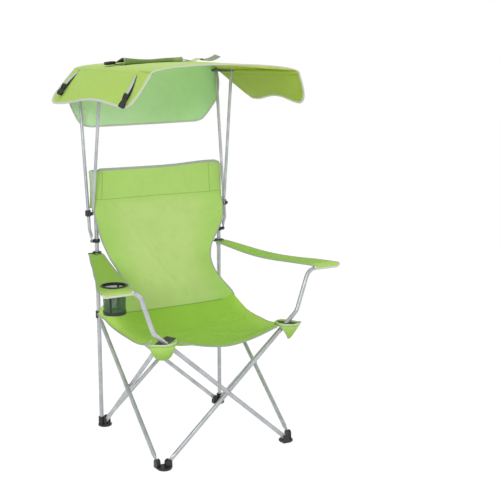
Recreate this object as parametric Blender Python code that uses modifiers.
# Folding canopy beach chair: a quad-fold sling chair with a sun canopy on two side frames.
# Metres, Z up, feet on z = 0. The chair faces -Y, and its left side is at -X.

import math

import bmesh
import bpy
from mathutils import Matrix, Vector

# Frame layout, measured from the middle of the whole chair
chair_shift_back = -0.0262
pivot_half_spacing = 0.243
post_step_out = 0.026
post_x = pivot_half_spacing + post_step_out
post_y = 0.272
side_pivot_step_in = 0.020
side_pivot_rear_y = post_y - side_pivot_step_in
side_pivot_front_y = side_pivot_rear_y - 2 * pivot_half_spacing
front_plane_step = 0.028
front_plane_y = side_pivot_front_y - front_plane_step
foot_pivot_z = 0.022
top_pivot_z = 0.452
crossing_offset = 0.009

# Tubes
tube_radius = 0.008
eye_radius = 0.009
eye_half_thickness = 0.0025
eye_flat_length = 0.012
eye_round_length = 0.034
pin_radius = 0.0025
clearance = 0.0003
open_pivot_clearance = 0.0014
head_radius = 0.005
head_thickness = 0.002
post_top_z = 0.998
post_foot_z = 0.0063
cap_height = 0.005

# Arms of the front tubes: knee, elbow and end, in the plane of the front cross
arm_knee_reach = 0.058
arm_elbow_reach = 0.053
arm_end_reach = 0.128
arm_knee_x = pivot_half_spacing + arm_knee_reach
arm_elbow_x = arm_knee_x + arm_elbow_reach
arm_end_x = arm_elbow_x + arm_end_reach
arm_z = 0.657
arm_knee_bend = 0.045
arm_elbow_bend = 0.036

# Feet and sliders
foot_radius = 0.027
foot_pad_height = 0.009
foot_pad_edge = 0.003
lug_radius = 0.0125
lug_width = 0.016
slot_width = 0.0058
slot_reach = 0.0105
slot_length = 0.040
socket_radius = 0.0125
socket_height = 0.036
sleeve_wall = 0.0037
sleeve_height = 0.028
boss_radius = 0.008
web_thickness = 0.010

# Sling cloth
cloth_thickness = 0.003
sleeve_length = 0.130
sleeve_bottom_z = post_top_z - sleeve_length
sling_over_post = 0.016
back_seam_rise = 0.026
back_foot_z = top_pivot_z + back_seam_rise
back_top_z = post_top_z + sling_over_post
back_waist = 0.068
back_lean = 0.122
seat_front_step = 0.008
seat_ear_step = 0.016
seat_side_reach = 0.024
seat_sag = 0.041
seat_front_y = front_plane_y - seat_front_step
seat_ear_y = post_y - seat_ear_step
sleeve_cloth = 0.0014
binding_radius = 0.003
seat_hole_radius = 0.050
seat_hole_sides = 32
seat_hole_step = 0.006
seat_hole_x = post_x - crossing_offset
seat_hole_y = front_plane_y + seat_hole_step
peg_step_in = 0.021
peg_step_back = 0.027
peg_x = pivot_half_spacing - peg_step_in
peg_y = side_pivot_front_y + peg_step_back
peg_radius = 0.004
pocket_cloth = 0.0024
pocket_rim_z = 0.4665
pocket_straight_z = 0.441
pocket_tip_z = 0.404
pocket_tip_radius = 0.006
pocket_rim_from = math.radians(-80)
pocket_rim_to = math.radians(156)
pocket_tip_from = math.radians(-35)
pocket_tip_to = math.radians(110)

# Armrests and cup holder
hem_clearance = 0.0005
collar_radius = 0.018
collar_thickness = 0.003
armrest_rise = 0.0415
armrest_rear_z = arm_z + armrest_rise
armrest_inside_post = 0.019
armrest_outside_post = 0.021
armrest_behind_post = 0.019
armrest_inside_elbow = 0.010
armrest_past_end = 0.0045
armrest_front_step = 0.012
cup_set_back = 0.078
cup_across_share = 0.4835
cup_y = front_plane_y + cup_set_back
cup_depth = 0.092
cup_hole_radius = 0.0425
cup_flange_radius = 0.047
cup_top_radius = 0.0415
cup_base_radius = 0.037
cup_wall = 0.0015
cup_ring_thickness = 0.003
base_ring_height = 0.009

# Canopy frame
bracket_below_top = 0.256
bracket_z = post_top_z - bracket_below_top
bracket_height = 0.014
bracket_wall = 0.0042
pole_step_out = 0.029
pole_foot_step_out = 0.022
pole_foot_step_in = 0.002
pole_lean_back = 0.066
slider_lean_back = 0.005
rear_pole_x = post_x + pole_step_out
rear_pole_foot_x = post_x + pole_foot_step_out
rear_pole_foot_y = post_y - pole_foot_step_in
rear_pole_top_y = post_y + pole_lean_back
canopy_slider_y = post_y + slider_lean_back
canopy_slider_below_top = 0.149
canopy_slider_z = post_top_z - canopy_slider_below_top
pole_radius = 0.006
pole_eye_radius = 0.0065
pole_pin_radius = 0.002
pole_eye_half_thickness = 0.002
pole_flat_length = 0.009
pole_squeeze_length = 0.020
pole_step_length = 0.030
front_pole_foot_step = 0.010
slider_ear_reach = 0.018
front_pole_top_step = 0.011
front_pole_set_forward = 0.162
rail_step_in = 0.0115
rail_past_pin = 0.007
rail_length = 0.600
rail_x = rear_pole_x - rail_step_in
front_pole_foot_x = rear_pole_x - front_pole_foot_step
front_pole_foot_y = canopy_slider_y - slider_ear_reach
front_pole_top_x = rail_x - front_pole_top_step
front_pole_top_y = rear_pole_top_y - front_pole_set_forward
rail_z = 1.380
rail_radius = 0.005
rail_rear_y = rear_pole_top_y + rail_past_pin
rail_front_y = rail_rear_y - rail_length
canopy_slider_height = 0.024
canopy_slider_wall = 0.0035
lever_thickness = 0.004

# Canopy cloth
canopy_cloth = 0.0024
canopy_past_rail_front = 0.013
canopy_past_rail_rear = 0.001
canopy_front_overhang = 0.0055
canopy_rear_overhang = 0.0205
canopy_above_rail = 0.0035
canopy_front_y = rail_front_y - canopy_past_rail_front
canopy_rear_y = rail_rear_y + canopy_past_rail_rear
canopy_front_half_width = rail_x + canopy_front_overhang
canopy_rear_half_width = rail_x + canopy_rear_overhang
canopy_edge_z = rail_z + canopy_above_rail
canopy_rise_front = 0.024
canopy_rise_rear = 0.026
flap_drop = 0.108
flap_wave = 0.014
flap_flare_front = 0.058
flap_flare_rear = 0.110
flap_flare_power = 1.3
flap_front_pull = 0.026
flap_front_curl = 0.040
flap_rear_pull = 0.060
flap_corner_lift = 0.008
flap_front_corner_share = 0.12
flap_rear_corner_share = 0.10
flap_wave_share = 0.86
rear_flap_step = 0.0007
rear_flap_drop = 0.2055
rear_flap_widening = 0.011
rear_flap_inset = 0.004
rear_flap_corner_height = 0.130
rear_flap_corner_width = 0.120
rear_flap_corner_flat_share = 0.02
rear_flap_belly = 0.010
rear_flap_y = canopy_rear_y + rear_flap_step
rear_flap_bottom_z = canopy_edge_z - rear_flap_drop
rear_flap_half_width = canopy_rear_half_width + rear_flap_widening
rear_flap_top_half_width = canopy_rear_half_width - rear_flap_inset
strap_half_width = 0.010
strap_thickness = 0.0016
strap_gap = 0.0013
buckle_length = 0.050
buckle_width = 0.032
buckle_thickness = 0.011
buckle_body_share = 0.62
buckle_body_down_share = 0.12
buckle_plug_length_share = 0.5
buckle_plug_width_share = 0.66
buckle_plug_thickness_share = 0.72
buckle_plug_up_share = 0.28
strap_rear_start_shares = (0.955, 0.06)
strap_rear_end_shares = (0.90, 0.58)
buckle_rear_shares = (0.885, 0.74)
buckle_rear_turn = math.radians(28.65)
strap_front_start_shares = (0.215, 0.12)
strap_front_end_shares = (0.16, 0.66)
buckle_front_shares = (0.135, 0.86)
buckle_front_turn = math.radians(14.32)

# Colours, as red, green and blue in linear light
green_light = (0.42, 0.66, 0.19, 1)
green_seat = (0.27, 0.52, 0.075, 1)
green_arm = (0.27, 0.50, 0.09, 1)
green_canopy = (0.46, 0.66, 0.14, 1)
green_rear = (0.30, 0.58, 0.24, 1)
grey_binding = (0.48, 0.52, 0.48, 1)
silver = (0.58, 0.58, 0.60, 1)
steel = (0.42, 0.42, 0.43, 1)
black = (0.012, 0.012, 0.014, 1)
mesh_black = (0.02, 0.03, 0.02, 1)

for old in list(bpy.data.objects):
    bpy.data.objects.remove(old, do_unlink=True)

parts = bpy.data.collections.new("folding_canopy_chair")
cutters = bpy.data.collections.new("cutters")
bpy.context.scene.collection.children.link(parts)
bpy.context.scene.collection.children.link(cutters)

middle = bpy.data.objects.new("chair_middle", None)
middle.location = (0, chair_shift_back, 0)
parts.objects.link(middle)


def material(name, colour, roughness, metallic=0):
    made = bpy.data.materials.new(name)
    made.use_nodes = True
    shader = made.node_tree.nodes["Principled BSDF"]
    shader.inputs["Base Color"].default_value = colour
    shader.inputs["Roughness"].default_value = roughness
    shader.inputs["Metallic"].default_value = metallic
    made.diffuse_color = colour
    return made


tube_finish = material("brushed_tube", silver, 0.35, 0.9)
rivet_finish = material("rivet_steel", steel, 0.30, 1)
plastic_finish = material("black_plastic", black, 0.45)
back_cloth = material("backrest_cloth", green_light, 0.85)
seat_cloth = material("seat_cloth", green_seat, 0.85)
arm_cloth = material("armrest_cloth", green_arm, 0.85)
canopy_top_cloth = material("canopy_cloth", green_canopy, 0.85)
rear_flap_cloth = material("rear_flap_cloth", green_rear, 0.85)
binding_cloth = material("grey_binding", grey_binding, 0.8)
webbing = material("black_webbing", black, 0.8)
cup_mesh = material("cup_mesh", mesh_black, 0.8)


# Building helpers

def add(name, mesh, finish, location=(0, 0, 0), rotation=(0, 0, 0), parent=middle):
    made = bpy.data.objects.new(name, mesh)
    made.location = location
    made.rotation_euler = rotation
    made.parent = parent
    mesh.materials.clear()
    mesh.materials.append(finish)
    parts.objects.link(made)
    return made


def pivot(name, location):
    """An empty on a joint's axis, for pieces that turn about it."""
    made = bpy.data.objects.new(name, None)
    made.location = location
    made.parent = middle
    parts.objects.link(made)
    return made


def as_cutter(obj):
    if obj.name in parts.objects:
        parts.objects.unlink(obj)
    cutters.objects.link(obj)
    obj.hide_render = True
    obj.display_type = 'WIRE'
    return obj


def combine(obj, other, operation):
    step = obj.modifiers.new(operation.lower() + "_" + other.name, 'BOOLEAN')
    step.operation = operation
    step.solver = 'EXACT'
    step.object = as_cutter(other)
    return obj


def join(obj, *others):
    for other in others:
        combine(obj, other, 'UNION')
    return obj


def cut(obj, *others):
    for other in others:
        combine(obj, other, 'DIFFERENCE')
    return obj


def smooth(mesh, limit=math.radians(35)):
    mesh.shade_smooth()
    mesh.set_sharp_from_angle(angle=limit)


def from_bmesh(name, bm):
    mesh = bpy.data.meshes.new(name)
    bm.to_mesh(mesh)
    bm.free()
    smooth(mesh)
    return mesh


def cylinder_mesh(name, radius, length, segments=20):
    bm = bmesh.new()
    bmesh.ops.create_cone(bm, cap_ends=True, segments=segments, radius1=radius, radius2=radius, depth=length)
    return from_bmesh(name, bm)


def box_mesh(name, size, edge=0):
    bm = bmesh.new()
    bmesh.ops.create_cube(bm, size=1, matrix=Matrix.Diagonal((*size, 1)))
    if edge:
        bmesh.ops.bevel(bm, geom=bm.edges[:], offset=edge, segments=2, profile=0.5, affect='EDGES')
    return from_bmesh(name, bm)


def turned(name, profile, finish, location=(0, 0, 0), rotation=(0, 0, 0), steps=18, ring=False, parent=middle):
    """A profile of (radius, height) pairs, top to bottom, turned about its own Z axis."""
    bm = bmesh.new()
    points = [bm.verts.new((radius, 0, height)) for radius, height in profile]
    for first, second in zip(points, points[1:]):
        bm.edges.new((first, second))
    if ring:
        bm.edges.new((points[-1], points[0]))
    mesh = bpy.data.meshes.new(name)
    bm.to_mesh(mesh)
    bm.free()
    made = add(name, mesh, finish, location, rotation, parent)
    turn = made.modifiers.new("turn", 'SCREW')
    turn.axis = 'Z'
    turn.angle = 2 * math.pi
    turn.steps = steps
    turn.render_steps = steps
    turn.use_merge_vertices = True
    turn.merge_threshold = 0.00005
    turn.use_smooth_shade = False
    return made


axis_turn = {
    '+X': (0, math.pi / 2, 0),
    '-X': (0, -math.pi / 2, 0),
    '+Y': (-math.pi / 2, 0, 0),
    '-Y': (math.pi / 2, 0, 0),
}
axis_vector = {'+X': Vector((1, 0, 0)), '-X': Vector((-1, 0, 0)), '+Y': Vector((0, 1, 0)), '-Y': Vector((0, -1, 0))}


stud_crown_share = 0.7


def headed_stud(name, start, direction, boss, boss_length, pin_length, pin=pin_radius, head=head_radius):
    """A boss, the pin on it that carries an eye, and the pin's head, along one axis."""
    end = boss_length + pin_length + head_thickness
    profile = [
        (0, end), (head * stud_crown_share, end), (head, end - head_thickness / 2), (head, end - head_thickness),
        (pin, end - head_thickness), (pin, boss_length), (boss, boss_length), (boss, 0), (0, 0),
    ]
    return turned(name, profile, plastic_finish, start, axis_turn[direction], steps=12)


def eased(value):
    value = min(max(value, 0), 1)
    return value * value * (3 - 2 * value)


def between(low, high, share):
    return low + (high - low) * share


def through_stations(stations, at):
    """The row of measures at a place along rows that start with their place."""
    for low, high in zip(stations, stations[1:]):
        if at <= high[0]:
            share = max((at - low[0]) / (high[0] - low[0]), 0)
            return [between(a, b, share) for a, b in zip(low[1:], high[1:])]
    return list(stations[-1][1:])


def spread(row_shares, spans):
    """Rows of real measures from rows of shares. A span gives a measure's value at share 0 and at 1."""
    return [tuple(between(low, high, share) for share, (low, high) in zip(row, spans)) for row in row_shares]


def rounded_path(corners, bends, steps=6):
    """A line through corners, with each inner corner rounded to its bend radius."""
    points = [Vector(corners[0])]
    for before, corner, after, bend in zip(corners, corners[1:], corners[2:], bends):
        corner = Vector(corner)
        back = (Vector(before) - corner).normalized()
        ahead = (Vector(after) - corner).normalized()
        half = back.angle(ahead) / 2
        reach = bend / math.tan(half)
        centre = corner + (back + ahead).normalized() * (bend / math.sin(half))
        start = corner + back * reach - centre
        turn = math.pi - 2 * half
        axis = start.cross(corner + ahead * reach - centre).normalized()
        for step in range(steps + 1):
            points.append(centre + Matrix.Rotation(turn * step / steps, 3, axis) @ start)
    points.append(Vector(corners[-1]))
    return points


def tube_mesh(name, points, radius):
    """A round bar along points, made as a bevelled curve and turned into a closed mesh."""
    curve = bpy.data.curves.new(name, 'CURVE')
    curve.dimensions = '3D'
    curve.bevel_depth = radius
    curve.bevel_resolution = 2
    curve.use_fill_caps = True
    line = curve.splines.new('POLY')
    line.points.add(len(points) - 1)
    for place, point in zip(line.points, points):
        place.co = (*point, 1)
    made = bpy.data.objects.new(name + "_curve", curve)
    parts.objects.link(made)
    graph = bpy.context.evaluated_depsgraph_get()
    mesh = bpy.data.meshes.new_from_object(made.evaluated_get(graph))
    bpy.data.objects.remove(made)
    bm = bmesh.new()
    bm.from_mesh(mesh)
    bmesh.ops.remove_doubles(bm, verts=bm.verts[:], dist=0.00001)
    bm.to_mesh(mesh)
    bm.free()
    mesh.name = name
    return mesh


eye_tip_shares = (1, 0.72, 0.4, 0)
eye_widening_shares = (0, 0.35, 0.7, 1)
eye_rounding_share = 0.97


def end_places(eye):
    """Distances from an end pivot at which a flattened end needs a ring, tip first."""
    tip = [-eye * share for share in eye_tip_shares]
    return tip + [between(eye_flat_length, eye_round_length, share) for share in eye_widening_shares]


def flatten_end(mesh, eye_centre, inward, thin, radius, eye, half_thickness, flat=eye_flat_length,
                full=eye_round_length):
    """Press the tube flat round an end pivot and round off its tip."""
    wide = inward.cross(thin).normalized()
    for vert in mesh.vertices:
        offset = vert.co - eye_centre
        along = offset.dot(inward)
        if along > full or offset.length > 2 * eye_round_length:
            continue
        share = eased((along - flat) / (full - flat))
        across = offset.dot(wide) * between(eye / radius, 1, share)
        through = offset.dot(thin) * between(half_thickness / radius, 1, share)
        if along < 0:
            along *= math.sqrt(max(1 - (eye_rounding_share * across / eye) ** 2, 0))
        vert.co = eye_centre + inward * along + wide * across + thin * through


def finish_ends(mesh):
    """Split the curved end caps into triangles and shade the bar."""
    bm = bmesh.new()
    bm.from_mesh(mesh)
    bmesh.ops.triangulate(bm, faces=[face for face in bm.faces if len(face.verts) > 4], ngon_method='BEAUTY')
    bm.to_mesh(mesh)
    bm.free()
    smooth(mesh)


def flat_ended_bar(name, foot, top, thin, radius=tube_radius, eye=eye_radius, half_thickness=eye_half_thickness,
                   tail=None):
    """A bar between two pivots. With a tail, the top runs on round as a bent tube."""
    foot = Vector(foot)
    top = Vector(top)
    inward = (top - foot).normalized()
    points = [foot + inward * place for place in end_places(eye)]
    if tail:
        points += tail
    else:
        points += [top - inward * place for place in reversed(end_places(eye))]
    mesh = tube_mesh(name, points, radius)
    flatten_end(mesh, foot, inward, thin, radius, eye, half_thickness)
    if not tail:
        flatten_end(mesh, top, -inward, thin, radius, eye, half_thickness)
    finish_ends(mesh)
    return mesh


def pin_holes(name, places, direction, radii, length):
    """Short cylinders through each pivot of a bar, as one cutter."""
    bm = bmesh.new()
    for place, radius in zip(places, radii):
        turn = Matrix.Rotation(math.pi / 2, 4, 'Y' if direction == 'X' else 'X')
        bmesh.ops.create_cone(bm, cap_ends=True, segments=12, radius1=radius, radius2=radius, depth=length,
                              matrix=Matrix.Translation(place) @ turn)
    return bpy.data.objects.new(name, from_bmesh(name, bm))


def bar(name, foot, top, direction, finish=tube_finish, crossing=True, turns_at=None, tail=None):
    """One cross tube with a hole at each pivot, its origin on the joint that moves it."""
    thin = Vector((1, 0, 0)) if direction == 'X' else Vector((0, 1, 0))
    foot = Vector(foot)
    top = Vector(top)
    origin = turns_at or foot
    shift = -Vector(origin)
    moved = [point + shift for point in tail] if tail else None
    mesh = flat_ended_bar(name, foot + shift, top + shift, thin, tail=moved)
    made = add(name, mesh, finish, origin)
    places = [foot + shift, top + shift]
    if crossing:
        places.append((foot + top) / 2 + shift)
    holes = pin_holes(name + "_holes", places, direction, [pin_radius + clearance] * 3, 4 * tube_radius)
    holes.location = origin
    holes.parent = middle
    parts.objects.link(holes)
    return cut(made, holes)


def sheet(name, columns, rows, point, thickness, finish, holes=(), parent=middle):
    """Cloth: a flat grid laid over a surface given by its two shares, then thickened."""
    bm = bmesh.new()
    bmesh.ops.create_grid(bm, x_segments=columns, y_segments=rows, size=1)
    for vert in bm.verts:
        vert.co = point((vert.co.x + 1) / 2, (vert.co.y + 1) / 2)
    made = add(name, from_bmesh(name, bm), finish, parent=parent)
    thick = made.modifiers.new("cloth", 'SOLIDIFY')
    thick.thickness = thickness
    thick.offset = 0
    thick.use_even_offset = True
    return cut(made, *holes)


def upright_hole(name, radius, x, y, z, depth, segments=24):
    made = bpy.data.objects.new(name, cylinder_mesh(name, radius, depth, segments))
    made.location = (x, y, z)
    made.parent = middle
    parts.objects.link(made)
    return made


def block(name, low, high, edge=0):
    """A box between two corners, ready to be joined or cut away."""
    low = Vector(low)
    high = Vector(high)
    size = [abs(value) for value in high - low]
    made = bpy.data.objects.new(name, box_mesh(name, size, edge))
    made.location = (low + high) / 2
    made.parent = middle
    parts.objects.link(made)
    return made


def hull_of(source):
    """The convex hull of everything in a bmesh, as a new one."""
    hull = bmesh.new()
    for vert in source.verts:
        hull.verts.new(vert.co)
    source.free()
    bmesh.ops.convex_hull(hull, input=hull.verts[:])
    inner = [vert for vert in hull.verts if not vert.link_faces]
    bmesh.ops.delete(hull, geom=inner, context='VERTS')
    return hull


def lug(name, at, direction):
    """A clevis cheek pair as one rounded block over the foot pad, round a pin."""
    bm = bmesh.new()
    turn = Matrix.Rotation(math.pi / 2, 4, 'Y' if direction == 'X' else 'X')
    bmesh.ops.create_cone(bm, cap_ends=True, segments=14, radius1=lug_radius, radius2=lug_radius,
                          depth=lug_width, matrix=Matrix.Translation(at) @ turn)
    size = (lug_width, 2 * lug_radius, foot_pad_height / 2) if direction == 'X' else (
        2 * lug_radius, lug_width, foot_pad_height / 2)
    base = Vector((at[0], at[1], foot_pad_height / 2))
    bmesh.ops.create_cube(bm, size=1, matrix=Matrix.Translation(base) @ Matrix.Diagonal((*size, 1)))
    bm = hull_of(bm)
    made = bpy.data.objects.new(name, from_bmesh(name, bm))
    made.parent = middle
    parts.objects.link(made)
    return made


def lug_slot(name, at, direction, towards):
    """The slot between a lug's cheeks, open upwards and towards the bar."""
    half = slot_width / 2
    back = -slot_reach * towards
    ahead = slot_length * towards
    low_z = at[2] - slot_reach
    high_z = at[2] + slot_length
    if direction == 'X':
        return block(name, (at[0] - half, at[1] + back, low_z), (at[0] + half, at[1] + ahead, high_z))
    return block(name, (at[0] + back, at[1] - half, low_z), (at[0] + ahead, at[1] + half, high_z))


lug_pin_share = 0.9


def lug_pin(name, at, direction):
    made = bpy.data.objects.new(name, cylinder_mesh(name, pin_radius, lug_width * lug_pin_share, 12))
    made.location = at
    made.rotation_euler = axis_turn['+X'] if direction == 'X' else axis_turn['+Y']
    made.parent = middle
    parts.objects.link(made)
    return made


def foot(name, middle_at, side_eye, cross_eye, side_towards, cross_towards, post=None):
    """A foot: round pad, two slotted lugs with their pins, and a post socket on the rear feet."""
    top = foot_pad_height
    profile = [
        (0, top), (foot_radius - foot_pad_edge, top), (foot_radius, top - foot_pad_edge),
        (foot_radius, foot_pad_edge / 2), (foot_radius - foot_pad_edge / 2, 0), (0, 0),
    ]
    made = turned(name, profile, plastic_finish, (*middle_at, 0), steps=20)
    join(made, lug(name + "_side_lug", side_eye, 'X'), lug(name + "_cross_lug", cross_eye, 'Y'))
    if post:
        socket = upright_hole(name + "_socket", socket_radius, *post, socket_height / 2 + foot_pad_edge / 2,
                              socket_height - foot_pad_edge)
        join(made, socket)
    cut(made, lug_slot(name + "_side_slot", side_eye, 'X', side_towards),
        lug_slot(name + "_cross_slot", cross_eye, 'Y', cross_towards))
    if post:
        bore_depth = 2 * socket_height
        cut(made, upright_hole(name + "_bore", tube_radius + clearance, *post,
                               post_foot_z - clearance + bore_depth / 2, bore_depth))
    join(made, lug_pin(name + "_side_pin", side_eye, 'X'), lug_pin(name + "_cross_pin", cross_eye, 'Y'))
    return made


# Where the pivots are

left, right = -1, 1


def side_plane(side, outboard):
    """X of a side tube's plane. The tubes that reach the sliders run outboard of their partners."""
    return side * (post_x + (crossing_offset if outboard else -crossing_offset))


rear_plane_of_left_bar = post_y + crossing_offset
rear_plane_of_right_bar = post_y - crossing_offset
front_plane_of_right_arm = front_plane_y + crossing_offset
front_plane_of_left_arm = front_plane_y - crossing_offset


# Feet: each carries one side tube and one front or rear tube

foot_lean_share = 0.42

def make_feet():
    for side, word in ((left, "left"), (right, "right")):
        rear_plane = rear_plane_of_left_bar if side == left else rear_plane_of_right_bar
        front_plane = front_plane_of_right_arm if side == left else front_plane_of_left_arm
        lean_in = foot_radius * foot_lean_share
        foot("foot_rear_" + word, (side * (post_x - lean_in), post_y - lean_in / 2),
             (side_plane(side, False), side_pivot_rear_y, foot_pivot_z),
             (side * pivot_half_spacing, rear_plane, foot_pivot_z), -1, -side, (side * post_x, post_y))
        foot("foot_front_" + word, (side * (post_x - lean_in), front_plane_y + lean_in),
             (side_plane(side, True), side_pivot_front_y, foot_pivot_z),
             (side * pivot_half_spacing, front_plane, foot_pivot_z), 1, -side)


# Posts: straight tubes from the rear feet to the top of the sling

cap_crown_share = 0.6

def make_posts():
    for side, word in ((left, "left"), (right, "right")):
        length = post_top_z - post_foot_z
        add("post_" + word, cylinder_mesh("post_" + word, tube_radius, length, 24), tube_finish,
            (side * post_x, post_y, post_foot_z + length / 2))
        profile = [
            (0, cap_height), (tube_radius * cap_crown_share, cap_height), (tube_radius, cap_height / 2),
            (tube_radius, 0), (0, 0),
        ]
        turned("post_cap_" + word, profile, plastic_finish, (side * post_x, post_y, post_top_z + clearance))


# Cross tubes: two at the rear, two at each side, two at the front that run on as the arms

def make_cross_tubes():
    half = pivot_half_spacing
    bar("rear_bar_from_left", (-half, rear_plane_of_left_bar, foot_pivot_z),
        (half, rear_plane_of_left_bar, top_pivot_z), 'Y')
    bar("rear_bar_from_right", (half, rear_plane_of_right_bar, foot_pivot_z),
        (-half, rear_plane_of_right_bar, top_pivot_z), 'Y',
        turns_at=Vector((0, rear_plane_of_right_bar, (foot_pivot_z + top_pivot_z) / 2)))
    for side, word in ((left, "left"), (right, "right")):
        inner = side_plane(side, False)
        outer = side_plane(side, True)
        bar(word + "_bar_rear", (inner, side_pivot_rear_y, foot_pivot_z), (inner, side_pivot_front_y, top_pivot_z), 'X')
        bar(word + "_bar_front", (outer, side_pivot_front_y, foot_pivot_z),
            (outer, side_pivot_rear_y, top_pivot_z), 'X',
            turns_at=Vector((outer, (side_pivot_front_y + side_pivot_rear_y) / 2, (foot_pivot_z + top_pivot_z) / 2)))


def arm_tail(side, plane):
    """The tube past the corner pivot: straight to the knee, steep to the elbow, then level outwards."""
    slope = (top_pivot_z - foot_pivot_z) / (2 * pivot_half_spacing)
    knee_z = top_pivot_z + slope * (arm_knee_x - pivot_half_spacing)
    start = (side * pivot_half_spacing, plane, top_pivot_z)
    corners = [start, (side * arm_knee_x, plane, knee_z), (side * arm_elbow_x, plane, arm_z),
               (side * arm_end_x, plane, arm_z)]
    return rounded_path(corners, (arm_knee_bend, arm_elbow_bend))


def make_arm_tubes():
    half = pivot_half_spacing
    bar("front_bar_right_arm", (-half, front_plane_of_right_arm, foot_pivot_z),
        (half, front_plane_of_right_arm, top_pivot_z), 'Y', tail=arm_tail(right, front_plane_of_right_arm))
    bar("front_bar_left_arm", (half, front_plane_of_left_arm, foot_pivot_z),
        (-half, front_plane_of_left_arm, top_pivot_z), 'Y', tail=arm_tail(left, front_plane_of_left_arm),
        turns_at=Vector((0, front_plane_of_left_arm, (foot_pivot_z + top_pivot_z) / 2)))


# Rivets where two tubes cross, with a washer between the tubes

rivet_crown_share = 0.8

def rivet(name, at, direction):
    reach = crossing_offset + tube_radius + clearance
    washer = crossing_offset - tube_radius - clearance
    head = reach + head_thickness
    profile = [
        (0, head), (head_radius * rivet_crown_share, head), (head_radius, reach), (pin_radius, reach),
        (pin_radius, washer),
        (head_radius, washer), (head_radius, -washer), (pin_radius, -washer), (pin_radius, -reach),
        (head_radius, -reach), (head_radius * rivet_crown_share, -head), (0, -head),
    ]
    turned(name, profile, rivet_finish, at, axis_turn[direction], steps=12)


def make_rivets():
    middle_z = (foot_pivot_z + top_pivot_z) / 2
    middle_y = (side_pivot_front_y + side_pivot_rear_y) / 2
    rivet("cross_rivet_rear", (0, post_y, middle_z), '+Y')
    rivet("cross_rivet_front", (0, front_plane_y, middle_z), '+Y')
    rivet("cross_rivet_left", (-post_x, middle_y, middle_z), '+X')
    rivet("cross_rivet_right", (post_x, middle_y, middle_z), '+X')


# Sliders: a sleeve on the post with a stud for the rear tube and a stud for the side tube

slider_web_share = 0.8
slider_sunk_share = 0.6

def slider(name, side):
    bore = tube_radius + clearance
    outer = bore + sleeve_wall
    half = sleeve_height / 2
    profile = [(bore, half), (outer, half), (outer, -half), (bore, -half)]
    made = turned(name, profile, plastic_finish, (side * post_x, post_y, top_pivot_z), ring=True)
    eye_gap = eye_half_thickness + clearance
    behind = side == left
    plane = rear_plane_of_right_bar if behind else rear_plane_of_left_bar
    sign = -1 if behind else 1
    stud_length = web_thickness + 2 * clearance
    stud_start = plane - sign * (eye_gap + stud_length)
    stud = headed_stud(name + "_rear_stud", (side * pivot_half_spacing, stud_start, top_pivot_z),
                       '-Y' if behind else '+Y', boss_radius, stud_length, 2 * eye_gap)
    web_low = min(stud_start, stud_start + sign * stud_length) + clearance
    web = block(name + "_rear_web",
                (side * (post_x - bore - sleeve_wall / 3), web_low, top_pivot_z - boss_radius * slider_web_share),
                (side * pivot_half_spacing, web_low + web_thickness, top_pivot_z + boss_radius * slider_web_share))
    side_eye_x = side_plane(side, True)
    boss_length = slider_sunk_share * sleeve_wall + boss_radius
    boss_start = side_eye_x - side * (eye_gap + boss_length)
    side_stud = headed_stud(name + "_side_stud", (boss_start, side_pivot_rear_y, top_pivot_z),
                            '-X' if side == left else '+X', boss_radius, boss_length, 2 * eye_gap)
    side_web = block(name + "_side_web",
                     (boss_start + side * clearance, side_pivot_rear_y, top_pivot_z - boss_radius * slider_web_share),
                     (boss_start + side * (boss_length - clearance), post_y - bore - sleeve_wall / 4,
                      top_pivot_z + boss_radius * slider_web_share))
    return join(made, web, stud, side_web, side_stud)


# Seat: panel from the front hem to the seam under the backrest, with ears out to the sliders.
# Rows give Y, half width, edge height and middle height, each as a share of its own span.

seat_row_shares = (
    (0, -0.2917, 0.1707, -0.7561),
    (0.1008, 0.4583, -0.0976, -0.9024),
    (0.2281, 0.6667, -0.2683, -1),
    (0.3612, 0.625, -0.3659, -0.9756),
    (0.4753, 0.7083, -0.3659, -0.8293),
    (0.5817, 0.8333, -0.2927, -0.5854),
    (0.6806, 1, -0.0732, -0.0976),
    (0.7719, 0.9583, 0.2195, 0.439),
    (0.7985, 0.8958, 0.3049, 0.5488),
    (0.8555, 0.7083, 0.378, 0.5732),
    (1, 0.4583, 0.4024, 0.5732),
)
seat_rows = spread(seat_row_shares, (
    (seat_front_y, seat_ear_y), (post_x, post_x + seat_side_reach),
    (top_pivot_z, top_pivot_z + seat_sag), (top_pivot_z, top_pivot_z + seat_sag),
))
seat_seam_share = 0.7985
seat_rear_y = between(seat_front_y, seat_ear_y, seat_seam_share)
seat_ear_share = 0.74
seat_sag_power = 2.6


def seat_height(x, y):
    half, edge_z, middle_z = through_stations(seat_rows, y)
    return between(middle_z, edge_z, min(abs(x) / half, 1) ** seat_sag_power)


def seat_point(across, back):
    side = 2 * across - 1
    ear = eased((abs(side) - seat_ear_share) / (1 - seat_ear_share))
    rear = between(seat_rear_y, seat_rows[-1][0], ear)
    y = between(seat_rows[0][0], rear, back)
    half = through_stations(seat_rows, y)[0]
    return Vector((side * half, y, seat_height(side * half, y)))


# Corner joints: an elbow of two studs that ties a side tube's top to the front tube

corner_cross_share = 0.72
corner_arm_share = 0.6
peg_wall_share = 1.4

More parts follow.
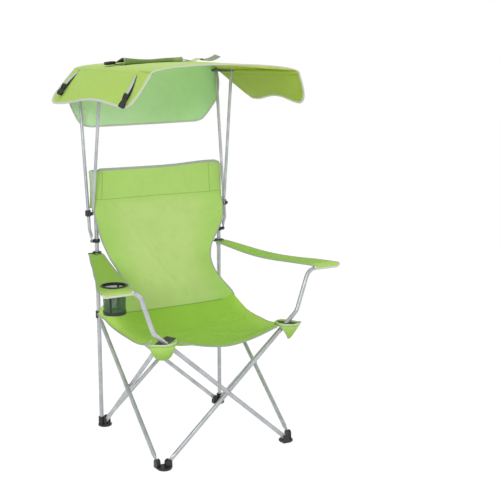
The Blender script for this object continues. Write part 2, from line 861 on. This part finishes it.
def corner_joint(name, side):
    eye_gap = eye_half_thickness + clearance
    plane = front_plane_of_left_arm if side == left else front_plane_of_right_arm
    side_eye_x = side_plane(side, False)
    inner_x = side * (pivot_half_spacing - boss_radius)
    boss_length = abs(side_eye_x - inner_x) - eye_gap
    made = headed_stud(name, (inner_x, side_pivot_front_y, top_pivot_z), '-X' if side == left else '+X',
                       boss_radius, boss_length, 2 * eye_gap)
    tube_gap = tube_radius + clearance
    cross_length = side_pivot_front_y - plane - tube_gap
    cross = headed_stud(name + "_cross_stud", (side * pivot_half_spacing, side_pivot_front_y, top_pivot_z), '-Y',
                        boss_radius * corner_cross_share, cross_length, 2 * tube_gap)
    half = boss_radius * corner_arm_share
    reach = peg_radius * peg_wall_share
    arm = block(name + "_seat_arm", (side * (peg_x - reach), side_pivot_front_y - half, top_pivot_z - half),
                (side * (pivot_half_spacing - boss_radius / 3), peg_y + reach, top_pivot_z + half))
    low = seat_height(peg_x + peg_radius, peg_y) + cloth_thickness / 2 + 4 * clearance
    peg = upright_hole(name + "_seat_peg", peg_radius, side * peg_x, peg_y, (low + top_pivot_z) / 2, top_pivot_z - low,
                       12)
    return join(made, cross, arm, peg)


# Backrest: panel with a sleeve over each post top. Rows give height, half width, edge Y and middle Y,
# each as a share of its own span.

back_row_shares = (
    (0, 0.1029, 1, 0.9836),
    (0.0511, 0.4265, 0.9672, 0.918),
    (0.1269, 0.8382, 0.8852, 0.8033),
    (0.2121, 1, 0.7377, 0.6393),
    (0.2879, 0.8971, 0.4918, 0.4426),
    (0.3542, 0.7059, 0.2951, 0.2623),
    (0.4205, 0.5, 0.2049, 0.1311),
    (0.4962, 0.2647, 0.1803, 0.0492),
    (0.5777, 0.0441, 0.1803, 0),
    (0.6572, -0.0441, 0.1639, -0.0246),
    (0.7273, 0.0147, 0.0984, -0.0328),
    (0.7992, 0.0882, 0.0779, -0.0328),
    (1, 0.0882, 0.0779, 0),
)
back_rows = spread(back_row_shares, (
    (back_foot_z, back_top_z), (post_x, post_x - back_waist),
    (post_y, post_y - back_lean), (post_y, post_y - back_lean),
))
back_top_sag = 0.002
back_top_sag_share = 0.2
sleeve_crown_share = 0.8
back_bow_power = 2.0


def back_point(across, up):
    side = 2 * across - 1
    seam_half = back_rows[0][1]
    seam_z = seat_height(side * seam_half, seat_rear_y) + cloth_thickness + clearance
    z = between(seam_z, back_rows[-1][0], up)
    half, edge_y, middle_y = through_stations(back_rows, z)
    bow = 1 - abs(side) ** back_bow_power
    sag = back_top_sag * bow * eased((up - 1 + back_top_sag_share) / back_top_sag_share)
    return Vector((side * half, between(edge_y, middle_y, bow), z - sag))


def make_backrest():
    made = sheet("backrest", 13, 25, back_point, cloth_thickness, back_cloth)
    inner = tube_radius + 3 * clearance
    outer = inner + sleeve_cloth
    top = post_top_z + cap_height + 4 * clearance
    for side, word in ((left, "left"), (right, "right")):
        profile = [(0, top + sleeve_cloth), (outer * sleeve_crown_share, top + sleeve_cloth), (outer, top),
                   (outer, sleeve_bottom_z), (inner, sleeve_bottom_z), (inner, top - clearance), (0, top - clearance)]
        join(made, turned("backrest_sleeve_" + word, profile, back_cloth, (side * post_x, post_y, 0), steps=16))
    return made


# Seat and its front binding

def make_seat():
    holes = [upright_hole("seat_corner_hole_" + word, seat_hole_radius, side * seat_hole_x, seat_hole_y, top_pivot_z,
                          4 * seat_hole_radius, seat_hole_sides) for side, word in ((left, "left"), (right, "right"))]
    sheet("seat", 18, 16, seat_point, cloth_thickness, seat_cloth, holes)
    gap = binding_radius + 2 * clearance
    share_out = 1 - (seat_hole_radius + binding_radius) / (2 * seat_hole_x)
    points = []
    steps = 14
    for step in range(steps + 1):
        across = between(1 - share_out, share_out, step / steps)
        place = seat_point(across, 0)
        points.append(place + Vector((0, -gap, 0)))
    mesh = tube_mesh("seat_front_binding", points, binding_radius)
    smooth(mesh)
    add("seat_front_binding", mesh, binding_cloth)


# Corner pockets: cloth cups sewn to the seat's corners, narrowing to a tip under each corner joint

def pocket(name, side):
    rim_radius = seat_hole_radius * math.cos(math.pi / seat_hole_sides) - pocket_cloth / 2 - clearance

    def point(round_share, up):
        height = between(pocket_tip_z, pocket_rim_z, up)
        taper = min((height - pocket_tip_z) / (pocket_straight_z - pocket_tip_z), 1)
        radius = between(pocket_tip_radius, rim_radius, taper)
        above = eased((height - pocket_straight_z) / (pocket_rim_z - pocket_straight_z))
        start = between(pocket_tip_from, pocket_rim_from, above)
        end = between(pocket_tip_to, pocket_rim_to, taper)
        angle = between(start, end, round_share)
        x = seat_hole_x + radius * math.sin(angle)
        y = seat_hole_y - radius * math.cos(angle)
        return Vector((side * x, y, height))

    return sheet(name, 16, 6, point, pocket_cloth, seat_cloth)


# Armrests: tapered panels from the post to a hem over the arm tube.
# Rows give Y, inner X, outer X and height, each as a share of its own span.

arm_row_shares = (
    (0, 1, 1, 0.241),
    (0.0924, 0.8947, 0.916, 0.2337),
    (0.1885, 0.7719, 0.8193, 0.2169),
    (0.3475, 0.5877, 0.6463, 0.1566),
    (0.4972, 0.4298, 0.5038, 0.1928),
    (0.6433, 0.2807, 0.3562, 0.3614),
    (0.7782, 0.1579, 0.2341, 0.6265),
    (0.915, 0.0263, 0.0611, 0.9036),
    (1, 0, 0, 1),
)
arm_rows = spread(arm_row_shares, (
    (front_plane_y + armrest_front_step, post_y + armrest_behind_post),
    (post_x - armrest_inside_post, arm_elbow_x + armrest_inside_elbow),
    (post_x + armrest_outside_post, arm_end_x + armrest_past_end), (arm_z, armrest_rear_z),
))
cup_x = -between(*through_stations(arm_rows, cup_y)[:2], cup_across_share)
hem_share = 0.2
collar_crown_share = 0.9
hem_turn = math.radians(105)
hem_outset = 0.003


def arm_panel_point(side, plane):
    wrap = tube_radius + hem_clearance + cloth_thickness / 2

    def point(across, ahead):
        if ahead <= 1 - hem_share:
            y = between(arm_rows[-1][0], plane, ahead / (1 - hem_share))
            inner, outer, z = through_stations(arm_rows, y)
            settle = eased((arm_rows[1][0] - y) / (arm_rows[1][0] - plane))
            z = between(z, arm_z + wrap, settle)
        else:
            turn = hem_turn * (ahead - 1 + hem_share) / hem_share
            inner, outer, z = through_stations(arm_rows, plane)
            y = plane - wrap * math.sin(turn)
            z = arm_z + wrap * math.cos(turn)
        return Vector((side * between(inner, outer + hem_outset * ahead, across), y, z))

    return point


def make_armrests():
    for side, word in ((left, "left"), (right, "right")):
        plane = front_plane_of_left_arm if side == left else front_plane_of_right_arm
        rear_z = arm_rows[-1][3]
        holes = [upright_hole("armrest_post_hole_" + word, tube_radius + 2 * clearance, side * post_x, post_y,
                              rear_z, socket_height)]
        if side == left:
            holes.append(upright_hole("armrest_cup_hole", cup_hole_radius, cup_x, cup_y, rear_z, 2 * cup_depth, 32))
        sheet("armrest_" + word, 5, 21, arm_panel_point(side, plane), cloth_thickness, arm_cloth, holes)
        bottom = cloth_thickness / 2 + 4 * clearance
        bore = tube_radius + clearance
        profile = [(bore, bottom + collar_thickness), (collar_radius * collar_crown_share, bottom + collar_thickness),
                   (collar_radius, bottom + collar_thickness / 2), (collar_radius, bottom), (bore, bottom)]
        turned("collar_" + word, profile, plastic_finish, (side * post_x, post_y, rear_z), ring=True)


# Cup holder: a flanged ring in the left armrest, a tapered mesh cup under it and a ring round its base

cup_lip_share = 2.5
cup_flange_crown_share = 0.97
base_ring_crown_share = 0.7

def make_cup_holder():
    inner, outer, sheet_z = through_stations(arm_rows, cup_y)
    top = sheet_z + cloth_thickness / 2 + 3 * clearance
    lip_outer = cup_top_radius - cup_wall - 4 * clearance
    lip_inner = lip_outer - cup_wall
    lip_bottom = -cup_lip_share * cup_ring_thickness
    profile = [
        (lip_inner, cup_ring_thickness), (cup_flange_radius * cup_flange_crown_share, cup_ring_thickness),
        (cup_flange_radius, cup_ring_thickness / 2), (cup_flange_radius, 0), (lip_outer, 0),
        (lip_outer, lip_bottom), (lip_inner, lip_bottom),
    ]
    turned("cup_ring", profile, plastic_finish, (cup_x, cup_y, top), steps=28, ring=True)
    rim = top - clearance
    base = rim - cup_depth
    pocket_profile = [
        (0, base + cup_wall), (cup_base_radius - cup_wall, base + cup_wall), (cup_top_radius - cup_wall, rim),
        (cup_top_radius, rim), (cup_base_radius, base), (0, base),
    ]
    turned("cup_pocket", pocket_profile, cup_mesh, (cup_x, cup_y, 0), steps=28)
    slope = (cup_top_radius - cup_base_radius) / cup_depth
    low = cup_base_radius + clearance
    high = low + slope * base_ring_height
    band = cup_ring_thickness
    crown = high + band * base_ring_crown_share
    ring_profile = [(high, base_ring_height), (crown, base_ring_height), (high + band, base_ring_height / 2),
                    (crown, 0), (low, 0)]
    turned("cup_base_ring", ring_profile, plastic_finish, (cup_x, cup_y, base), steps=28, ring=True)


# Canopy side frames

bracket_crown_share = 0.93
bracket_side_share = 0.7
bracket_boss_share = 0.85
bracket_head_share = 0.9
pole_tip_share = 0.6
pole_step_shares = (0.25, 0.5, 0.75, 1)
slider_crown_share = 0.92
slider_side_share = 0.8
slider_boss_step_share = 0.5
slider_ear_share = 0.7
lever_low_share = 0.9
lever_high_share = 0.35
grip_width_share = 1.2
grip_depth_share = 3.2
grip_height_share = 0.7
rail_boss_share = 1.7
canopy_head_share = 0.8

pole_direction = Vector((0, rear_pole_top_y - canopy_slider_y, rail_z - canopy_slider_z)).normalized()


def canopy_bracket(name, side):
    """A clamp round the post with a stud for the rear pole's foot."""
    bore = tube_radius + clearance
    outer = bore + bracket_wall
    half = bracket_height / 2
    crown = outer * bracket_crown_share
    band = half * bracket_side_share
    profile = [(bore, half), (crown, half), (outer, band), (outer, -band), (crown, -half), (bore, -half)]
    made = turned(name, profile, plastic_finish, (side * post_x, post_y, bracket_z), ring=True)
    eye_gap = pole_eye_half_thickness + clearance
    start = post_x + bore + bracket_wall / 3
    boss_length = rear_pole_foot_x - eye_gap - start
    stud = headed_stud(name + "_stud", (side * start, rear_pole_foot_y, bracket_z), '-X' if side == left else '+X',
                       boss_radius * bracket_boss_share, boss_length, 2 * eye_gap, pole_pin_radius,
                       head_radius * bracket_head_share)
    return join(made, stud)


def rear_pole(name, side):
    """A long pole, flattened at both pivots, its foot set in towards the bracket."""
    up = pole_direction
    line_y = canopy_slider_y - (canopy_slider_z - bracket_z) * up.y / up.z
    foot_at = Vector((side * rear_pole_foot_x, rear_pole_foot_y, bracket_z))
    top_at = Vector((side * rear_pole_x, rear_pole_top_y, rail_z)) - foot_at
    step_out = Vector((side * (rear_pole_x - rear_pole_foot_x), line_y - rear_pole_foot_y, 0))

    def along_pole(place):
        return up * place + step_out * eased((place - pole_squeeze_length) / pole_step_length)

    lower = [-pole_eye_radius, -pole_eye_radius * pole_tip_share, 0, pole_flat_length,
             (pole_flat_length + pole_squeeze_length) / 2, pole_squeeze_length]
    points = [along_pole(place) for place in lower]
    points += [along_pole(pole_squeeze_length + pole_step_length * share) for share in pole_step_shares]
    points += [top_at - up * place for place in reversed(end_places(pole_eye_radius))]
    mesh = tube_mesh(name, points, pole_radius)
    thin = Vector((1, 0, 0))
    flatten_end(mesh, Vector((0, 0, 0)), up, thin, pole_radius, pole_eye_radius, pole_eye_half_thickness,
                pole_flat_length, pole_squeeze_length)
    flatten_end(mesh, top_at, -up, thin, pole_radius, pole_eye_radius, pole_eye_half_thickness)
    finish_ends(mesh)
    made = add(name, mesh, tube_finish, foot_at)
    holes = pin_holes(name + "_holes", [Vector((0, 0, 0)), top_at], 'X', [pole_pin_radius + clearance] * 2,
                      4 * pole_radius)
    holes.location = foot_at
    holes.parent = middle
    parts.objects.link(holes)
    return cut(made, holes)


def canopy_slider(name, side):
    """A sleeve on the rear pole with an ear for the front pole's foot and a locking lever."""
    bore = pole_radius + clearance
    outer = bore + canopy_slider_wall
    half = canopy_slider_height / 2
    tilt = (-math.asin(pole_direction.y), 0, 0)
    place = Vector((side * rear_pole_x, canopy_slider_y, canopy_slider_z))
    crown = outer * slider_crown_share
    band = half * slider_side_share
    profile = [(bore, half), (crown, half), (outer, band), (outer, -band), (crown, -half), (bore, -half)]
    made = turned(name, profile, plastic_finish, place, tilt, ring=True)
    eye_gap = pole_eye_half_thickness + clearance
    boss_length = rear_pole_x - front_pole_foot_x - eye_gap + boss_radius * slider_boss_step_share
    stud_start = front_pole_foot_x + eye_gap + boss_length
    stud = headed_stud(name + "_stud", (side * stud_start, front_pole_foot_y, canopy_slider_z),
                       '+X' if side == left else '-X', boss_radius * bracket_boss_share, boss_length, 2 * eye_gap,
                       pole_pin_radius, head_radius * canopy_head_share)
    ear = boss_radius * slider_ear_share
    web = block(name + "_web", (side * (stud_start - clearance), front_pole_foot_y, canopy_slider_z - ear),
                (side * (stud_start - boss_length + clearance), canopy_slider_y - bore - canopy_slider_wall / 3,
                 canopy_slider_z + ear))
    rear = canopy_slider_y + bore + canopy_slider_wall / 3
    low = canopy_slider_z - half * lever_low_share
    high = canopy_slider_z - half * lever_high_share
    arm = block(name + "_lever_arm", (side * (rear_pole_x - lever_thickness), rear, low),
                (side * (rear_pole_x + lever_thickness), rear + 3 * lever_thickness, high))
    wide = lever_thickness * grip_width_share
    grip = block(name + "_lever_grip",
                 (side * (rear_pole_x - wide), rear + 2 * lever_thickness, canopy_slider_z - half),
                 (side * (rear_pole_x + wide), rear + grip_depth_share * lever_thickness,
                  canopy_slider_z + half * grip_height_share))
    return join(made, web, stud, arm, grip)


def front_pole(name, side):
    """A straight pole from the slider's ear up to the rail."""
    foot_at = Vector((side * front_pole_foot_x, front_pole_foot_y, canopy_slider_z))
    top_at = Vector((side * front_pole_top_x, front_pole_top_y, rail_z))
    mesh = flat_ended_bar(name, foot_at - foot_at, top_at - foot_at, Vector((1, 0, 0)), pole_radius,
                          pole_eye_radius, pole_eye_half_thickness)
    made = add(name, mesh, tube_finish, foot_at)
    radii = [pole_pin_radius + clearance, pole_pin_radius + open_pivot_clearance]
    holes = pin_holes(name + "_holes", [Vector((0, 0, 0)), top_at - foot_at], 'X', radii, 4 * pole_radius)
    holes.location = foot_at
    holes.parent = middle
    parts.objects.link(holes)
    return cut(made, holes)


def rail(name, side):
    """The rod in the canopy's side sleeve, with a pin outboard for the rear pole and inboard for the front pole."""
    origin = Vector((side * rail_x, rear_pole_top_y, rail_z))
    points = [Vector((0, rail_rear_y - rear_pole_top_y, 0)), Vector((0, rail_front_y - rear_pole_top_y, 0))]
    mesh = tube_mesh(name, points, rail_radius)
    smooth(mesh)
    made = add(name, mesh, tube_finish, origin)
    eye_gap = pole_eye_half_thickness + clearance
    outward = '-X' if side == left else '+X'
    inward = '+X' if side == left else '-X'
    pin = pole_pin_radius
    reach_out = rear_pole_x - eye_gap - rail_x
    reach_in = rail_x - front_pole_top_x - eye_gap
    rear_pin = headed_stud(name + "_rear_pin", origin, outward, pin * rail_boss_share, reach_out, 2 * eye_gap, pin,
                           head_radius * canopy_head_share)
    front_pin = headed_stud(name + "_front_pin", (side * rail_x, front_pole_top_y, rail_z), inward,
                            pin * rail_boss_share,
                            reach_in, 2 * eye_gap, pin, head_radius * canopy_head_share)
    return join(made, rear_pin, front_pin)


# Canopy cloth

def canopy_half_width(back):
    return between(canopy_front_half_width, canopy_rear_half_width, back)


def canopy_top_point(side, back):
    """Top panel: side is -1 to 1 across, back is 0 at the front edge and 1 at the rear edge."""
    half = canopy_half_width(back)
    rise = between(canopy_rise_front, canopy_rise_rear, back)
    arch = math.sqrt(max(1 - side * side, 0))
    return Vector((side * half, between(canopy_front_y, canopy_rear_y, back), canopy_edge_z + rise * arch))


def canopy_flap_point(side, back, down):
    """Side flap below the top panel's edge: side is -1 or 1, down is 0 at the edge and 1 at the hem."""
    flare = between(flap_flare_front, flap_flare_rear, back ** flap_flare_power)
    wave = flap_wave * math.sin(math.pi * min(back / flap_wave_share, 1)) ** 2
    front_pull = (flap_front_pull * down + flap_front_curl * down ** 4) * (1 - back) ** 2
    rear_pull = flap_rear_pull * down ** 3 * back ** 2
    x = canopy_half_width(back) + flare * down
    y = between(canopy_front_y, canopy_rear_y, back) + front_pull - rear_pull
    near_front = max(1 - back / flap_front_corner_share, 0)
    near_rear = max(1 - (1 - back) / flap_rear_corner_share, 0)
    corner = flap_corner_lift * down ** 5 * (near_front + near_rear)
    z = canopy_edge_z - (flap_drop - wave) * down + corner
    return Vector((side * x, y, z))


canopy_columns = 27
top_share = 8 / 13


def canopy_point(across, back):
    side = 2 * across - 1
    if abs(side) <= top_share:
        turn = side / top_share * math.pi / 2
        return canopy_top_point(math.sin(turn), back)
    down = (abs(side) - top_share) / (1 - top_share)
    return canopy_flap_point(math.copysign(1, side), back, down)


def rear_flap_point(across, down):
    side = 2 * across - 1
    half = between(rear_flap_top_half_width, rear_flap_half_width, down)
    under_edge = canopy_top_point(side * rear_flap_top_half_width / canopy_rear_half_width, 1).z
    top = under_edge - canopy_cloth / 2 - 3 * clearance / 2
    z = between(top, rear_flap_bottom_z, down)
    rounding = 1 - (z - rear_flap_bottom_z) / rear_flap_corner_height
    if rounding > 0:
        half -= rear_flap_corner_width * (1 - math.sqrt(max(1 - rounding ** 2, rear_flap_corner_flat_share)))
    belly = rear_flap_belly * math.sin(math.pi * down) * (1 - side * side)
    return Vector((side * half, rear_flap_y + belly, z))


normal_step_share = 0.01


def surface_normal(point, across, back):
    step = normal_step_share
    one = point(across + step, back) - point(across - step, back)
    two = point(across, back + step) - point(across, back - step)
    return one.cross(two).normalized()


def on_left_flap(back, down):
    across = (1 - (top_share + (1 - top_share) * down)) / 2
    place = canopy_point(across, back)
    normal = surface_normal(canopy_point, across, back)
    if normal.x > 0:
        normal = -normal
    return place, normal


def strap(name, top_back, top_down, end_back, end_down):
    """Webbing that lies on the left flap between two places on it."""
    lift = canopy_cloth / 2 + strap_thickness / 2 + strap_gap

    def point(across, along):
        back = between(top_back, end_back, along)
        down = between(top_down, end_down, along)
        place, normal = on_left_flap(back, down)
        return place + normal * lift + Vector((0, (2 * across - 1) * strap_half_width, 0))

    return sheet(name, 2, 8, point, strap_thickness, webbing)


def buckle(name, back, down, turn, gap):
    """A side-release buckle: a body with a narrower plug end."""
    place, normal = on_left_flap(back, down)
    lift = (canopy_cloth + buckle_thickness) / 2 + strap_thickness + gap
    mesh = box_mesh(name, (buckle_thickness, buckle_width, buckle_length * buckle_body_share), buckle_thickness / 5)
    lean = normal.to_track_quat('X', 'Z').to_euler()
    holder = pivot(name + "_place", place + normal * lift)
    holder.rotation_euler = lean
    made = add(name, mesh, plastic_finish, (0, 0, -buckle_length * buckle_body_down_share),
               (0, 0, 0), holder)
    plug_size = (buckle_thickness * buckle_plug_thickness_share, buckle_width * buckle_plug_width_share,
                 buckle_length * buckle_plug_length_share)
    plug = bpy.data.objects.new(name + "_plug", box_mesh(name + "_plug", plug_size, buckle_thickness / 6))
    plug.location = (0, 0, buckle_length * buckle_plug_up_share)
    plug.parent = holder
    parts.objects.link(plug)
    holder.rotation_euler.rotate_axis('X', turn)
    return join(made, plug)


# Carry flap: its places are shares of the top panel, across from its middle line and back from its front

carry_back_share = 0.68
carry_from_share = -0.74
carry_to_share = 0.07
carry_buckle_share = -0.83
carry_buckle_depth_share = 0.7
carry_narrow_share = 0.8
carry_under_share = 0.4
carry_bend_share = 0.2
carry_return_share = 0.9
carry_half_depth = 0.045
carry_fold_height = 0.016
tab_from_share = 0.17
tab_to_share = 0.63
tab_flat_share = 0.35


def on_top(side, step, lift):
    """A place on the top panel: side is -1 to 1 across, step is a length behind the carry flap's middle."""
    back = carry_back_share + step / (canopy_rear_y - canopy_front_y)
    return canopy_top_point(side, back) + Vector((0, 0, canopy_cloth / 2 + lift))


def make_carry_flap():
    """The carry flap folded on the top, its buckle beside it and the tab that it closes on."""
    def fold(across, round_share):
        side = between(carry_from_share, carry_to_share, across)
        half = carry_half_depth * between(1, carry_narrow_share, across)
        lift = strap_thickness / 2 + 3 * clearance
        radius = carry_fold_height / 2
        if round_share < carry_under_share:
            return on_top(side, half * (1 - 2 * round_share / carry_under_share), lift)
        bent = (round_share - carry_under_share) / carry_bend_share
        if bent > 1:
            over = (bent - 1) * carry_bend_share / (1 - carry_under_share - carry_bend_share)
            return on_top(side, half * (2 * carry_return_share * over - 1), lift + carry_fold_height)
        turn = bent * math.pi
        return on_top(side, -half - radius * math.sin(turn), lift + radius * (1 - math.cos(turn)))

    sheet("carry_flap", 7, 17, fold, strap_thickness, canopy_top_cloth)
    place = on_top(carry_buckle_share, 0, 2 * clearance + buckle_thickness / 2)
    half_share = buckle_width / 2 / canopy_half_width(carry_back_share)
    rise = on_top(carry_buckle_share + half_share, 0, 0) - on_top(carry_buckle_share - half_share, 0, 0)
    size = (buckle_width, buckle_length * carry_buckle_depth_share, buckle_thickness)
    add("carry_buckle", box_mesh("carry_buckle", size, buckle_thickness / 5), plastic_finish, place,
        (0, -math.atan2(rise.z, rise.x), 0))

    def tab(across, back):
        side = between(tab_from_share, tab_to_share, across)
        rise = carry_fold_height * eased((across - tab_flat_share) / (1 - tab_flat_share))
        return on_top(side, carry_half_depth * (2 * back - 1) / 2, strap_thickness / 2 + clearance + rise)

    sheet("carry_tab", 6, 3, tab, strap_thickness, webbing)


def make_canopy_cloth():
    sheet("canopy_cover", canopy_columns, 12, canopy_point, canopy_cloth, canopy_top_cloth)
    sheet("canopy_rear_flap", 13, 12, rear_flap_point, canopy_cloth, rear_flap_cloth)
    strap("strap_rear", *strap_rear_start_shares, *strap_rear_end_shares)
    buckle("buckle_rear", *buckle_rear_shares, buckle_rear_turn, strap_gap - clearance)
    strap("strap_front", *strap_front_start_shares, *strap_front_end_shares)
    buckle("buckle_front", *buckle_front_shares, buckle_front_turn, strap_gap + clearance)
    make_carry_flap()


def make_canopy_frames():
    for side, word in ((left, "left"), (right, "right")):
        canopy_bracket("canopy_bracket_" + word, side)
        rear_pole("canopy_rear_pole_" + word, side)
        canopy_slider("canopy_slider_" + word, side)
        front_pole("canopy_front_pole_" + word, side)
        rail("canopy_rail_" + word, side)


make_feet()
make_posts()
make_cross_tubes()
make_arm_tubes()
make_rivets()
slider("slider_left", left)
slider("slider_right", right)
corner_joint("corner_joint_left", left)
corner_joint("corner_joint_right", right)
make_backrest()
make_seat()
pocket("pocket_left", left)
pocket("pocket_right", right)
make_armrests()
make_cup_holder()
make_canopy_frames()
make_canopy_cloth()
